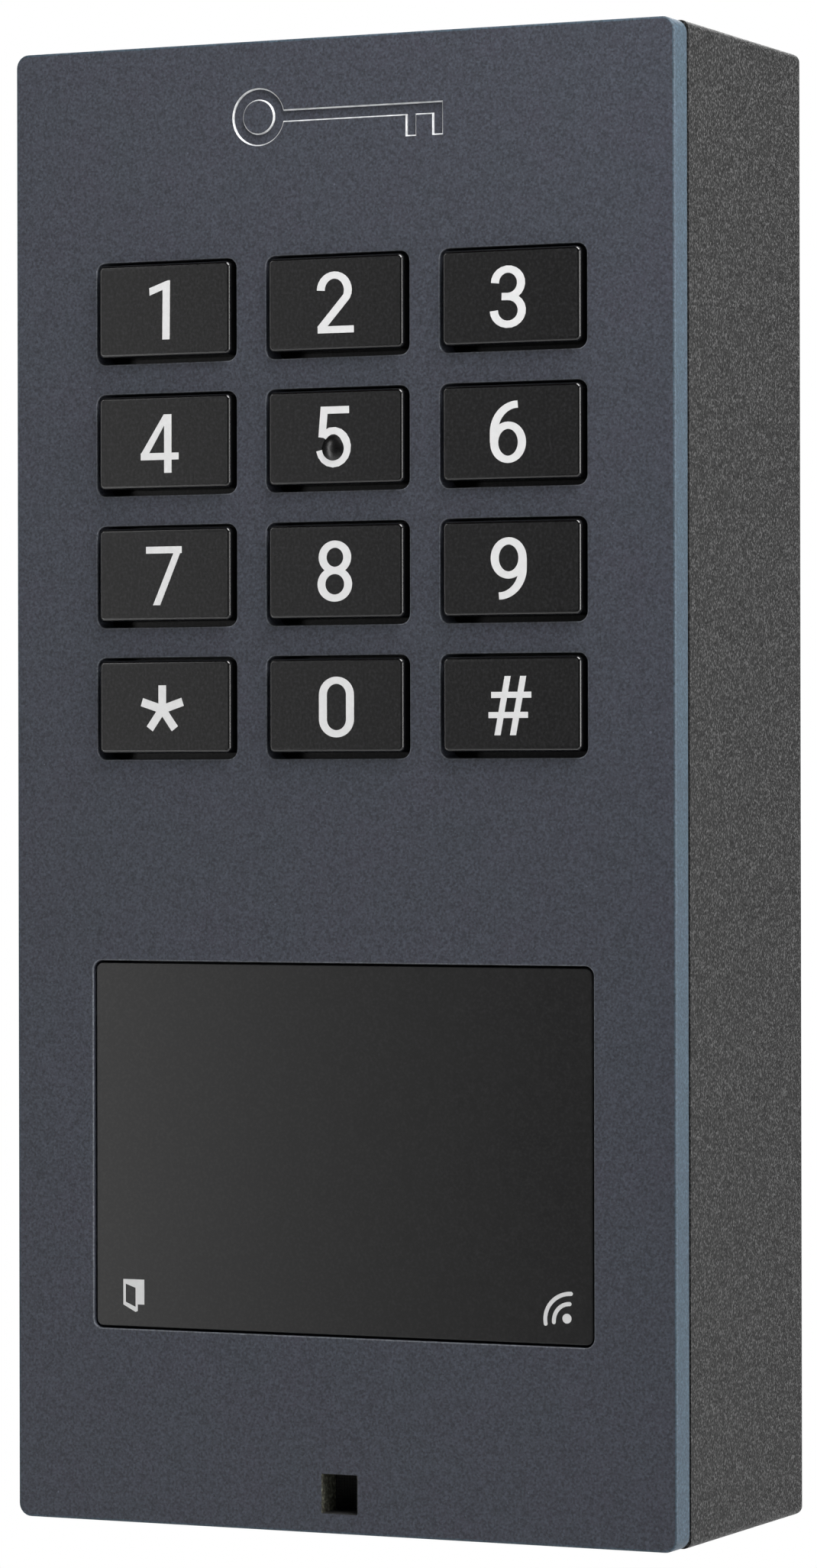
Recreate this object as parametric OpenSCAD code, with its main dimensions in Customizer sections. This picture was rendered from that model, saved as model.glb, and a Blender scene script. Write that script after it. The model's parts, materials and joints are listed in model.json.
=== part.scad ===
// Wall-mounted door keypad with a card reader window.
// The wall is the plane y = 0, the front faces -Y and +Z is up.
// The origin is the centre of the housing's wall face.

/* [Body] */
// Width of the front plate and the housing
body_w = 75; // [75:0.5:80]
// Height of the front plate and the housing
body_h = 154; // [154:0.5:160]
// Depth from the wall to the front of the plate
body_d = 35.4; // [34.4:0.2:40]
// Radius of the plate's corners
corner_r = 1.4; // [1:0.1:2]

/* [Front plate] */
// Thickness of the front plate
plate_t = 3.3; // [2.8:0.1:4]
// Width of the square sound opening
sound_w = 4; // [3:0.1:4.2]
// Height of the sound opening's centre, from the bottom of the plate
sound_z = 4.1; // [4:0.1:4.4]
// Length of the engraved key sign
sign_w = 24; // [18:0.5:28]
// Depth of the engraved key sign
sign_depth = 0.3; // [0.2:0.05:0.6]
// Height of the engraved key sign above the middle
sign_z = 69.1; // [68:0.1:69.5]

/* [Keys] */
// Distance between key columns
key_pitch_x = 19.75; // [19.6:0.05:20]
// Distance between key rows
key_pitch_z = 13.77; // [13.6:0.01:14]
// Height of the middle of the keypad above the middle of the plate
keypad_z = 28.67; // [28:0.01:29]
// Width of a key opening in the plate
key_opening_w = 16.3; // [16:0.1:16.4]
// Height of a key opening in the plate
key_opening_h = 10.6; // [10.4:0.1:10.8]
// Gap between a key and its opening
key_gap = 0.6; // [0.3:0.05:0.7]
// How far a key stands out of the plate
key_proud = 0.8; // [0.4:0.1:1.2]
// How far a key can be pressed in
key_travel = 0.8; // [0.4:0.1:0.8]

/* [Reader window] */
// Width of the window opening
window_w = 57; // [54:0.1:58]
// Height of the window opening
window_h = 38.5; // [36:0.1:39]
// Height of the window's centre above the middle of the plate
window_z = -37.55; // [-38:0.05:-37]
// Gap round the window
window_gap = 0.25; // [0.15:0.05:0.4]
// How far the window lies behind the plate's front
window_recess = 0.25; // [0:0.05:0.5]

/* [Housing] */
// Thickness of the side walls
wall_t = 2.2; // [1.8:0.1:2.4]
// Thickness of the housing's rear rim and of the wall plate in it
back_t = 2.6; // [2.2:0.1:3.2]
// Thickness of the gasket between the plate and the housing
gasket_t = 0.4; // [0.3:0.1:0.8]
// Radius of the housing's edges
housing_edge_r = 0.9; // [0.7:0.1:0.9]

/* [Wall fixing] */
// Distance between the wall screw holes, across
wall_holes_x = 40; // [36:1:44]
// Distance between the wall screw holes, up
wall_holes_z = 110; // [100:1:112]
// Radius of a wall screw hole
wall_hole_r = 2.25; // [1.75:0.05:2.5]
// Radius of the cable hole in the rubber grommet
cable_r = 3; // [2:0.1:4]
// Height of the cable entry above the middle
cable_z = -22; // [-26:1:-18]

/* [Boards] */
// Thickness of a circuit board
board_t = 1.6; // [1.2:0.1:1.6]
// Distance from the wall to the rear of the main board
main_board_y = 18; // [18:0.5:19]

/* [Hidden] */
$fn = 48;

// depths, from the front towards the wall
plate_front = -body_d;
plate_back = plate_front + plate_t;
rim = plate_back + gasket_t;
slide_gap = 0.1;
flange_t = 0.9;
flange_front = plate_back + slide_gap;
flange_back = flange_front + flange_t;
dome_rest = 1;
dome_h = dome_rest + key_travel;
mat_front = flange_back + dome_h;
mat_t = 0.8;
mat_back = mat_front + mat_t;
keypad_back = mat_back + board_t;
carrier_t = mat_front - plate_back;
main_back = -main_board_y;
main_front = main_back - board_t;

// keys
key_w = key_opening_w - 2 * key_gap;
key_h = key_opening_h - 2 * key_gap;
key_edge = 0.35;
key_corner_r = 0.6;
opening_r = 1;
flange_w = key_opening_w + 1.3;
flange_h = key_opening_h + 1.4;
carrier_play = 0.2;
carrier_margin = 2.5;
carrier_corner_r = 2;
carrier_w = body_w - 2 * wall_t - 2.6;
carrier_h = 3 * key_pitch_z + flange_h + 2 * carrier_play + 2 * carrier_margin;
dome_base_r = 4.4;
dome_foot = 0.7;
plunger_r = 2.2;
pip_r = 1.15;
pip_h = 0.35;
pip_drop = 0.9;

// window and antenna
window_front = plate_front + window_recess;
window_flange = 1.8;
seal_t = 0.4;
window_flange_t = 1;
window_back = plate_back + seal_t + window_flange_t;
retainer_t = 1.6;
antenna_front = window_back + retainer_t;
antenna_t = 1;
antenna_back = antenna_front + antenna_t;
ferrite_t = 0.5;
retainer_w = carrier_w;
retainer_h = window_h + 5.4;
retainer_play = 0.2;
retainer_lip = 0.5;
coil_turns = 3;
coil_inset = 6.5;
coil_track = 0.7;
coil_pitch = 1.4;
coil_copper = 0.1;
lamp_x = 24.2;
lamp_drop = 15.6;
lamp_size = [1.6, 0.9, 0.9];
ferrite_size = [window_w - 2, window_h - 8];
ferrite_rise = 3;

// screws; a head is its radius and its height
plate_screw_r = 1;
plate_screw_grip = 2;
plate_screw_head = [1.9, 1.3];
plate_screw_x = carrier_w / 2 - 2.2;
keypad_screw_z = 1.5 * key_pitch_z;
retainer_screw_z = retainer_h / 2 - 2.2;
post_x = 28;
post_z = 67;
post_r = 2.6;
post_hole_r = 1.3;
post_stud = 2;
post_thread = 6;
board_screw_head = [2.4, 1.6];
board_screw_grip = 5;
screw_play = 0.2;
security_x = 20;
security_y = plate_back + 6;
security_r = 1.5;
security_head_r = 3;
security_head_h = 1.4;
security_head_play = 0.15;
security_socket_r = 1.4;
security_grip = 5;
block_size = [10, 9, 6.5];
block_lift = 0.3;

// housing
cavity_w = body_w - 2 * wall_t;
cavity_h = body_h - 2 * wall_t;
cavity_corner_r = 1;
rear_rim = 6;
rear_opening_r = 2;
drain_r = 1.5;
drain_y = -8;
groove_corner_r = 3;
groove_inset = 2.2;
groove_w = 2;
groove_depth = 1.2;
groove_play = 0.1;
wall_plate_play = 0.1;
wall_plate_flange = 1.6;
wall_plate_flange_t = 1.2;
boss_h = 0.8;
screw_boss_r = 5;
grommet_boss_w = 2;
rib_h = 0.5;
rib_w = 1.2;
rib_inset = 3.8;
grommet_hole_r = cable_r + 3;
grommet_lip = 1.5;
grommet_lip_t = 1;
hook_x = 22;
hook_w = 8;
hook_t = 1.5;
hook_reach = 8;
hook_rise = 1.2;
ledge_h = 1.6;
ledge_d = 3.6;
ledge_y = rim + 2;

// sounder
sound_centre_z = sound_z - body_h / 2;
membrane_t = 0.2;
duct_w = 11;
duct_d = 4;
duct_wall = 1.2;
duct_gap = 0.4;
duct_bottom = 0.2 - cavity_h / 2;
duct_h = window_z - retainer_h / 2 - duct_gap - duct_bottom;
duct_front = plate_back + membrane_t;
duct_port_r = 1;
sounder_r = 5.4;
sounder_h = 4.5;
sounder_z = duct_bottom + duct_h - sounder_r - 0.6;

// main board; places are X and Z, sizes are X, Y and Z
main_w = cavity_w - 4;
main_h = cavity_h - 8;
board_corner_r = 2;
link_pitch = 1.27;
link_h = 5;
chip_size = [14, 1.4, 14];
chip_at = [0, -2];
chip_legs = 12;
leg_size = [1, 0.5];
jack_size = [16.2, 13.4, 21.3];
jack_at = [-17, 20];
jack_wall = 2.6;
jack_mouth = [11.7, 8.2, jack_size[2] - 2];
jack_latch = [6, 3, 16];
transformer_size = [13, 5.5, 9];
transformer_at = [jack_at[0], jack_at[1] + 24];
terminal_poles = 8;
terminal_pitch = 2.5;
terminal_size = [terminal_poles * terminal_pitch + 1, 10, 12];
terminal_at = [15, 16];
terminal_hole_r = 0.9;
terminal_hole_y = 4;
relay_size = [20, 10, 15.5];
relay_at = [17, 46];
capacitor_r = 4;
capacitor_h = 11;
capacitor_x = [-24, -14];
capacitor_z = 59;
tamper_size = [4, 2.2, 6];
tamper_at = [12, -48];

function key_x(col) = (col - 1) * key_pitch_x;
function key_z(row) = keypad_z + (1.5 - row) * key_pitch_z;

// Shapes shared by several parts

// A flat outline in X and Z, drawn out forwards from the depth "back"
module slab(back, thick) {
    translate([0, back, 0]) rotate([90, 0, 0]) linear_extrude(thick) children();
}

module round_rect(w, h, r) {
    square([w - 2 * r, h], center = true);
    square([w, h - 2 * r], center = true);
    for (x = [-1, 1], z = [-1, 1])
        translate([x * (w / 2 - r), z * (h / 2 - r)]) circle(r);
}

module ring(w, h, r, band) {
    difference() {
        round_rect(w, h, r);
        round_rect(w - 2 * band, h - 2 * band, max(r - band, 0.3));
    }
}

// A rod along Y, from the depth "back" forwards
module rod(x, z, back, length, r) {
    translate([x, back, z]) rotate([90, 0, 0]) cylinder(h = length, r = r);
}

// A block whose rear face is at the depth "back"
module block(x, z, back, size) {
    translate([x - size[0] / 2, back - size[1], z - size[2] / 2]) cube(size);
}

// Screw along Y whose head lies on the depth "seat"; its socket has six sides
module screw(seat, head, shank, shank_r) {
    socket = 0.6 * head[1];
    difference() {
        union() {
            rod(0, 0, seat + head[1], head[1], head[0]);
            rod(0, 0, seat, shank, shank_r);
        }
        rod(0, 0, seat + head[1] + 1, socket + 1, 0.37 * head[0], $fn = 6);
    }
}

module at_keys() {
    for (row = [0:3], col = [0:2]) translate([key_x(col), key_z(row)]) children();
}

module at_corners(x, z) {
    for (sx = [-1, 1], sz = [-1, 1]) translate([sx * x, 0, sz * z]) children();
}

module at_keypad_screws() {
    for (x = [-1, 1], z = [-1, 0, 1])
        translate([x * plate_screw_x, 0, keypad_z + z * keypad_screw_z]) children();
}

module at_retainer_screws() {
    translate([0, 0, window_z]) at_corners(plate_screw_x, retainer_screw_z) children();
}

// Front plate and what is fixed to it

// An old-fashioned key lying on its side: bow, shank and bit
module key_sign() {
    bow_r = 3;
    shank_h = 1.3;
    tooth = [1.2, 2.8];
    overlap = 0.4;
    translate([bow_r - sign_w / 2, 0]) difference() {
        circle(bow_r);
        circle(bow_r - shank_h);
    }
    translate([2 * bow_r - overlap - sign_w / 2, -shank_h / 2])
        square([sign_w - 2 * bow_r + overlap, shank_h]);
    for (x = [tooth[0], 3.5 * tooth[0]]) translate([sign_w / 2 - x, -tooth[1]]) square(tooth);
}

module front_plate() {
    color([0.31, 0.31, 0.34])
        difference() {
            slab(plate_back, plate_t) difference() {
                round_rect(body_w, body_h, corner_r);
                at_keys() round_rect(key_opening_w, key_opening_h, opening_r);
                translate([0, window_z]) round_rect(window_w, window_h, opening_r);
                translate([0, sound_centre_z]) square(sound_w, center = true);
            }
            slab(plate_front + sign_depth, 1) translate([0, sign_z]) key_sign();
            at_keypad_screws() rod(0, 0, plate_back + 1, plate_screw_grip + 1, plate_screw_r);
            at_retainer_screws() rod(0, 0, plate_back + 1, plate_screw_grip + 1, plate_screw_r);
            at_corners(post_x, post_z) rod(0, 0, plate_back + 1, post_stud + 1, post_hole_r);
        }
}

module plate_gasket() {
    color([0.05, 0.05, 0.05])
        slab(rim, gasket_t) ring(body_w - 0.6, body_h - 0.6, corner_r, wall_t - 0.8);
}

// Two tongues at the top that catch behind the housing's ledges
module plate_hooks() {
    top = cavity_h / 2 - ledge_h - 0.3;
    color([0.6, 0.6, 0.62])
        for (x = [-hook_x, hook_x]) translate([x - hook_w / 2, plate_back, top - hook_t]) {
            cube([hook_w, hook_reach, hook_t]);
            translate([0, hook_reach - hook_t, 0]) cube([hook_w, hook_t, hook_t + hook_rise]);
        }
}

// Tapped blocks on the plate that take the two screws from below
module fixing_blocks() {
    color([0.62, 0.62, 0.64])
        for (x = [-security_x, security_x])
            difference() {
                translate([x - block_size[0] / 2, plate_back, block_lift - cavity_h / 2]) cube(block_size);
                translate([x, security_y, -cavity_h / 2]) cylinder(h = block_size[2] + 1, r = security_r);
            }
}

// Screws from below, with their heads sunk into the housing's bottom wall
module security_screws() {
    sunk = 0.1;
    socket = 0.9;
    color([0.7, 0.7, 0.72])
        for (x = [-security_x, security_x])
            translate([x, security_y, sunk - body_h / 2]) difference() {
                union() {
                    cylinder(h = security_head_h - sunk, r = security_head_r - security_head_play);
                    cylinder(h = wall_t - sunk + security_grip, r = security_r - 0.02);
                }
                translate([0, 0, -1]) cylinder(h = socket + 1, r = security_socket_r, $fn = 6);
            }
}

// Housing

// Outline of the housing at a depth, drawn in by "inset" all round
module housing_layer(y, inset) {
    slab(y, 0.01)
        round_rect(body_w - 2 * inset, body_h - 2 * inset, max(housing_edge_r - inset, 0.05), $fn = 32);
}

module housing_shell() {
    hull() {
        housing_layer(rim + 0.01, 0);
        for (a = [0:15:90])
            housing_layer(-housing_edge_r * (1 - sin(a)), housing_edge_r * (1 - cos(a)));
    }
}

module ledges() {
    for (x = [-hook_x, hook_x])
        translate([x - hook_w / 2 - 1, ledge_y, cavity_h / 2 - ledge_h])
            cube([hook_w + 2, ledge_d, ledge_h + 0.1]);
}

// Deep sleeve with a rim at the rear, which the wall plate fills
module housing() {
    color([0.27, 0.27, 0.27])
        difference() {
            union() {
                difference() {
                    housing_shell();
                    slab(-back_t, body_d) round_rect(cavity_w, cavity_h, cavity_corner_r);
                }
                ledges();
            }
            slab(1, back_t + 2) wall_plate_outline(0);
            slab(0.01, groove_depth + 0.01)
                ring(body_w - 2 * groove_inset, body_h - 2 * groove_inset, groove_corner_r, groove_w);
            for (x = [-security_x, security_x]) translate([x, security_y, -body_h / 2 - 0.01]) {
                cylinder(h = wall_t + 1, r = security_r + screw_play);
                cylinder(h = security_head_h + 0.01, r = security_head_r);
            }
            translate([0, drain_y, -body_h / 2 - 1]) cylinder(h = wall_t + 2, r = drain_r);
        }
}

// Outline of the housing's rear opening, moved outwards by "grow"
module wall_plate_outline(grow) {
    round_rect(body_w - 2 * rear_rim + 2 * grow, body_h - 2 * rear_rim + 2 * grow, rear_opening_r);
}

// Round thickenings on the inside, where screws and the cable go through
module wall_bosses() {
    flange_front_y = -back_t - wall_plate_flange_t;
    at_corners(wall_holes_x / 2, wall_holes_z / 2)
        rod(0, 0, flange_front_y + 0.1, boss_h + 0.1, screw_boss_r);
    rod(0, cable_z, flange_front_y + 0.1, boss_h + 0.1, grommet_hole_r + grommet_boss_w);
}

module stiffening_ribs() {
    inside_w = body_w - 2 * rear_rim;
    inside_h = body_h - 2 * rear_rim;
    rib_front = -back_t - wall_plate_flange_t - rib_h;
    for (z = [-1, 1] * wall_holes_z / 2)
        translate([-inside_w / 2, rib_front, z - rib_w / 2]) cube([inside_w, rib_h + 0.1, rib_w]);
    for (x = [-1, 1] * (inside_w / 2 - rib_inset))
        translate([x - rib_w / 2, rib_front, -inside_h / 2]) cube([rib_w, rib_h + 0.1, inside_h]);
}

// Plate that is screwed to the wall; its flange lies behind the housing's rim
module wall_plate() {
    color([0.2, 0.2, 0.21])
        difference() {
            union() {
                slab(0, back_t + 0.1) wall_plate_outline(-wall_plate_play);
                slab(-back_t, wall_plate_flange_t) wall_plate_outline(wall_plate_flange);
                wall_bosses();
                stiffening_ribs();
            }
            at_corners(wall_holes_x / 2, wall_holes_z / 2) rod(0, 0, 1, back_t + 4, wall_hole_r);
            rod(0, cable_z, 1, back_t + 4, grommet_hole_r);
        }
}

module wall_seal() {
    color([0.08, 0.08, 0.08])
        slab(0, groove_depth) ring(
            body_w - 2 * groove_inset - 2 * groove_play,
            body_h - 2 * groove_inset - 2 * groove_play,
            groove_corner_r - groove_play,
            groove_w - 2 * groove_play
        );
}

// Round rubber bush with a lip on the inside
module cable_grommet() {
    color([0.1, 0.1, 0.1]) {
        inner = back_t + wall_plate_flange_t + boss_h;
        translate([0, 0, cable_z]) rotate([90, 0, 0]) rotate_extrude() polygon([
            [cable_r, 0],
            [grommet_hole_r - 0.05, 0],
            [grommet_hole_r - 0.05, inner + 0.05],
            [grommet_hole_r + grommet_lip, inner + 0.05],
            [grommet_hole_r + grommet_lip - 0.4, inner + grommet_lip_t],
            [cable_r, inner + grommet_lip_t],
        ]);
    }
}

// Keys

module key(row, col) {
    color([0.12, 0.12, 0.12]) translate([key_x(col), 0, key_z(row)]) {
        hull() {
            slab(flange_front, flange_front - plate_front + key_proud - key_edge)
                round_rect(key_w, key_h, key_corner_r, $fn = 24);
            slab(plate_front, key_proud)
                round_rect(key_w - 2 * key_edge, key_h - 2 * key_edge, key_corner_r - key_edge, $fn = 24);
        }
        slab(flange_back, flange_t) square([flange_w, flange_h], center = true);
    }
}

// Rubber dome under a key: a plunger on a thin conical web
module key_dome(row, col) {
    color([0.45, 0.47, 0.5])
        translate([key_x(col), mat_front, key_z(row)]) rotate([90, 0, 0]) rotate_extrude() polygon([
            [0, 0.05],
            [plunger_r - 0.2, 0.05],
            [plunger_r, dome_h * 0.5],
            [dome_base_r - dome_foot, 0],
            [dome_base_r, 0],
            [dome_base_r, 0.35],
            [plunger_r + 0.4, dome_h * 0.75],
            [plunger_r + 0.2, dome_h],
            [0, dome_h],
        ]);
}

module key_1() { key(0, 0); }
module key_2() { key(0, 1); }
module key_3() { key(0, 2); }
module key_4() { key(1, 0); }
module key_5() {
    key(1, 1);
    // raised pip that a finger finds in the dark
    pip_ball = (pip_r * pip_r + pip_h * pip_h) / (2 * pip_h);
    color([0.12, 0.12, 0.12])
        translate([key_x(1), plate_front - key_proud, key_z(1) - pip_drop]) rotate([90, 0, 0])
            rotate_extrude() intersection() {
                translate([0, pip_h - pip_ball]) circle(pip_ball);
                translate([0, -0.1]) square([pip_r, pip_h + 1]);
            }
}
module key_6() { key(1, 2); }
module key_7() { key(2, 0); }
module key_8() { key(2, 1); }
module key_9() { key(2, 2); }
module key_star() { key(3, 0); }
module key_0() { key(3, 1); }
module key_hash() { key(3, 2); }

module key_dome_1() { key_dome(0, 0); }
module key_dome_2() { key_dome(0, 1); }
module key_dome_3() { key_dome(0, 2); }
module key_dome_4() { key_dome(1, 0); }
module key_dome_5() { key_dome(1, 1); }
module key_dome_6() { key_dome(1, 2); }
module key_dome_7() { key_dome(2, 0); }
module key_dome_8() { key_dome(2, 1); }
module key_dome_9() { key_dome(2, 2); }
module key_dome_star() { key_dome(3, 0); }
module key_dome_0() { key_dome(3, 1); }
module key_dome_hash() { key_dome(3, 2); }

// Keypad stack behind the plate

module keypad_outline() {
    translate([0, keypad_z]) round_rect(carrier_w, carrier_h, carrier_corner_r);
}

module keypad_screw_holes(r) {
    for (x = [-1, 1], z = [-1, 0, 1])
        translate([x * plate_screw_x, keypad_z + z * keypad_screw_z]) circle(r);
}

module key_carrier() {
    color([0.2, 0.2, 0.22])
        slab(mat_front, carrier_t) difference() {
            keypad_outline();
            at_keys() square([flange_w + 2 * carrier_play, flange_h + 2 * carrier_play], center = true);
            keypad_screw_holes(plate_screw_r + screw_play);
        }
}

module keypad_mat() {
    color([0.45, 0.47, 0.5])
        slab(mat_back, mat_t) difference() {
            keypad_outline();
            at_keys() circle(dome_base_r - dome_foot);
            keypad_screw_holes(plate_screw_r + screw_play);
        }
}

module keypad_board() {
    color([0.05, 0.3, 0.15])
        slab(keypad_back, board_t) difference() {
            keypad_outline();
            keypad_screw_holes(plate_screw_r + screw_play);
        }
}

// Small screws that hold the keypad stack and the window retainer
module plate_screws() {
    color([0.72, 0.72, 0.74]) {
        at_keypad_screws() plate_screw(keypad_back);
        at_retainer_screws() plate_screw(antenna_back);
    }
}

module plate_screw(seat) {
    screw(seat, plate_screw_head, seat - plate_back + plate_screw_grip, plate_screw_r - 0.01);
}

// Reader window

// Rectangle of the window opening, moved outwards by "grow"
module window_outline(grow) {
    square([window_w + 2 * grow, window_h + 2 * grow], center = true);
}

module window_flange_outline() {
    round_rect(window_w + 2 * window_flange, window_h + 2 * window_flange, opening_r + 1);
}

module reader_window() {
    color([0.17, 0.17, 0.18]) {
        slab(plate_back + seal_t, plate_back + seal_t - window_front) translate([0, window_z])
            round_rect(window_w - 2 * window_gap, window_h - 2 * window_gap, opening_r - window_gap);
        slab(window_back, window_flange_t) translate([0, window_z]) window_flange_outline();
    }
}

module window_seal() {
    color([0.05, 0.05, 0.05])
        slab(plate_back + seal_t, seal_t) translate([0, window_z]) difference() {
            window_flange_outline();
            window_outline(0.3);
        }
}

module retainer_screw_holes(r) {
    for (x = [-1, 1], z = [-1, 1]) translate([x * plate_screw_x, z * retainer_screw_z]) circle(r);
}

// Frame round the window's flange, with a lip that presses on it
module window_retainer() {
    color([0.2, 0.2, 0.22]) {
        slab(window_back, window_back - plate_back) translate([0, window_z]) difference() {
            round_rect(retainer_w, retainer_h, carrier_corner_r);
            window_outline(window_flange + retainer_play);
            retainer_screw_holes(plate_screw_r + screw_play);
        }
        slab(antenna_front, retainer_t) translate([0, window_z]) difference() {
            round_rect(retainer_w, retainer_h, carrier_corner_r);
            window_outline(-retainer_lip);
            retainer_screw_holes(plate_screw_r + screw_play);
        }
    }
}

module antenna_board() {
    color([0.05, 0.3, 0.15])
        slab(antenna_back, antenna_t) translate([0, window_z]) difference() {
            round_rect(retainer_w, retainer_h, carrier_corner_r);
            retainer_screw_holes(plate_screw_r + screw_play);
        }
}

// Flat loops of copper round the edge of the antenna board
module antenna_coil() {
    color([0.72, 0.45, 0.2])
        slab(antenna_front, coil_copper) translate([0, window_z])
            for (turn = [0:coil_turns - 1])
                ring(
                    window_w - 2 * coil_inset - 2 * turn * coil_pitch,
                    window_h - 2 * coil_inset - 2 * turn * coil_pitch,
                    carrier_corner_r,
                    coil_track
                );
}

// Two small lamps behind the signs at the window's lower corners
module icon_lamps() {
    color([0.95, 0.95, 0.9])
        for (x = [-lamp_x, lamp_x]) block(x, window_z - lamp_drop, antenna_front, lamp_size);
}

module ferrite_sheet() {
    color([0.25, 0.25, 0.27])
        slab(antenna_back + ferrite_t, ferrite_t)
            translate([0, window_z + ferrite_rise]) square(ferrite_size, center = true);
}

// Sounder at the bottom

// Thin mesh behind the square opening
module sound_membrane() {
    color([0.03, 0.03, 0.03])
        translate([-duct_w / 2, plate_back, duct_bottom]) cube([duct_w, membrane_t, sound_w + 2]);
}

// Rubber channel that leads the sound from the sounder down to the opening
module sound_duct() {
    color([0.1, 0.1, 0.1])
        difference() {
            translate([-duct_w / 2, duct_front, duct_bottom]) cube([duct_w, duct_d, duct_h]);
            translate([duct_wall - duct_w / 2, duct_front - 0.1, duct_bottom + duct_wall])
                cube([duct_w - 2 * duct_wall, 0.2, sound_w]);
            translate([duct_wall - duct_w / 2, duct_front + 0.01, duct_bottom + duct_wall])
                cube([duct_w - 2 * duct_wall, duct_d - duct_wall, duct_h - 2 * duct_wall]);
            rod(0, sounder_z, duct_front + duct_d + 0.1, duct_wall + 0.2, duct_port_r);
        }
}

module sounder() {
    color([0.07, 0.07, 0.08])
        rod(0, sounder_z, duct_front + duct_d + sounder_h, sounder_h, sounder_r);
}

// Boards and their parts

module main_board() {
    color([0.05, 0.3, 0.15])
        slab(main_back, board_t) difference() {
            round_rect(main_w, main_h, board_corner_r);
            for (x = [-1, 1], z = [-1, 1]) translate([x * post_x, z * post_z]) circle(post_hole_r);
        }
}

// Six-sided pillars screwed into the plate
module board_posts() {
    color([0.75, 0.6, 0.3])
        at_corners(post_x, post_z) difference() {
            union() {
                rod(0, 0, main_front, main_front - plate_back, post_r, $fn = 6);
                rod(0, 0, plate_back + 0.1, post_stud + 0.1, post_hole_r - 0.01);
            }
            rod(0, 0, main_front + 0.1, post_thread, post_hole_r);
        }
}

module board_screws() {
    color([0.72, 0.72, 0.74])
        at_corners(post_x, post_z)
            screw(main_back, board_screw_head, board_t + board_screw_grip, post_hole_r - 0.02);
}

// Board-to-board connector between two depths, as long as its row of pins
module link(x, z, from, to, pins) {
    color([0.06, 0.06, 0.06]) block(x, z, to, [pins * link_pitch + 2, to - from, link_h]);
}

module keypad_link() { link(0, keypad_z, keypad_back, main_front, 14); }
module antenna_link() { link(0, window_z - window_h / 2 + 3.5, antenna_back, main_front, 6); }

// A flat chip with a row of legs along two sides
module processor() {
    leg_pitch = chip_size[2] / chip_legs;
    leg_x = chip_size[0] / 2 + 0.45;
    color([0.08, 0.08, 0.09]) block(chip_at[0], chip_at[1], main_front - 0.1, chip_size);
    color([0.75, 0.75, 0.77])
        for (side = [-1, 1], n = [0:chip_legs - 1])
            block(
                chip_at[0] + side * leg_x,
                chip_at[1] + (n - (chip_legs - 1) / 2) * leg_pitch,
                main_front,
                [leg_size[0], leg_size[1], leg_pitch * 0.45]
            );
}

// Isolating transformer of the network socket
module network_transformer() {
    color([0.09, 0.09, 0.1])
        block(transformer_at[0], transformer_at[1], main_back + transformer_size[1], transformer_size);
}

// Network socket on the rear of the main board, open downwards to the cable
module network_jack() {
    rear = main_back + jack_size[1];
    color([0.66, 0.67, 0.68])
        difference() {
            block(jack_at[0], jack_at[1], rear, jack_size);
            translate([0, 0, -1]) block(jack_at[0], jack_at[1] - 2, rear - jack_wall, jack_mouth);
            block(jack_at[0], jack_at[1] - jack_size[2] / 2, rear - jack_wall / 2, jack_latch);
        }
}

// Push-in terminals for the bus wires and the door release
module terminal_block() {
    first_x = terminal_at[0] - (terminal_poles - 1) / 2 * terminal_pitch;
    bottom = terminal_at[1] - terminal_size[2] / 2;
    color([0.12, 0.35, 0.2])
        difference() {
            block(terminal_at[0], terminal_at[1], main_back + terminal_size[1], terminal_size);
            for (n = [0:terminal_poles - 1])
                translate([first_x + n * terminal_pitch, main_back + terminal_hole_y, bottom - 1])
                    cylinder(h = 9, r = terminal_hole_r);
        }
}

module door_relay() {
    color([0.1, 0.1, 0.12]) block(relay_at[0], relay_at[1], main_back + relay_size[1], relay_size);
}

module capacitors() {
    color([0.15, 0.2, 0.35])
        for (x = capacitor_x) rod(x, capacitor_z, main_back + capacitor_h, capacitor_h, capacitor_r);
}

// Light sensor that looks at the wall plate and reports the reader's removal from it
module tamper_sensor() {
    color([0.1, 0.1, 0.1]) block(tamper_at[0], tamper_at[1], main_back + tamper_size[1], tamper_size);
}

front_plate();
plate_gasket();
plate_hooks();
fixing_blocks();
security_screws();
housing();
wall_plate();
wall_seal();
cable_grommet();
key_1();
key_2();
key_3();
key_4();
key_5();
key_6();
key_7();
key_8();
key_9();
key_star();
key_0();
key_hash();
key_dome_1();
key_dome_2();
key_dome_3();
key_dome_4();
key_dome_5();
key_dome_6();
key_dome_7();
key_dome_8();
key_dome_9();
key_dome_star();
key_dome_0();
key_dome_hash();
key_carrier();
keypad_mat();
keypad_board();
plate_screws();
reader_window();
window_seal();
window_retainer();
icon_lamps();
antenna_board();
antenna_coil();
ferrite_sheet();
sound_membrane();
sound_duct();
sounder();
main_board();
board_posts();
board_screws();
keypad_link();
antenna_link();
processor();
network_transformer();
network_jack();
terminal_block();
door_relay();
capacitors();
tamper_sensor();
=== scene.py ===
"""Looks of a wall-mounted door keypad with a card reader window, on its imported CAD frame.

The wall is the plane y = 0, the front faces -Y and +Z is up. Shapes are worked out in
millimetres and turned into metres when a mesh is made.
"""
import json
import math

import bmesh
import bpy
from mathutils import Matrix, Vector
from mathutils.geometry import delaunay_2d_cdt, tessellate_polygon


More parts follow.
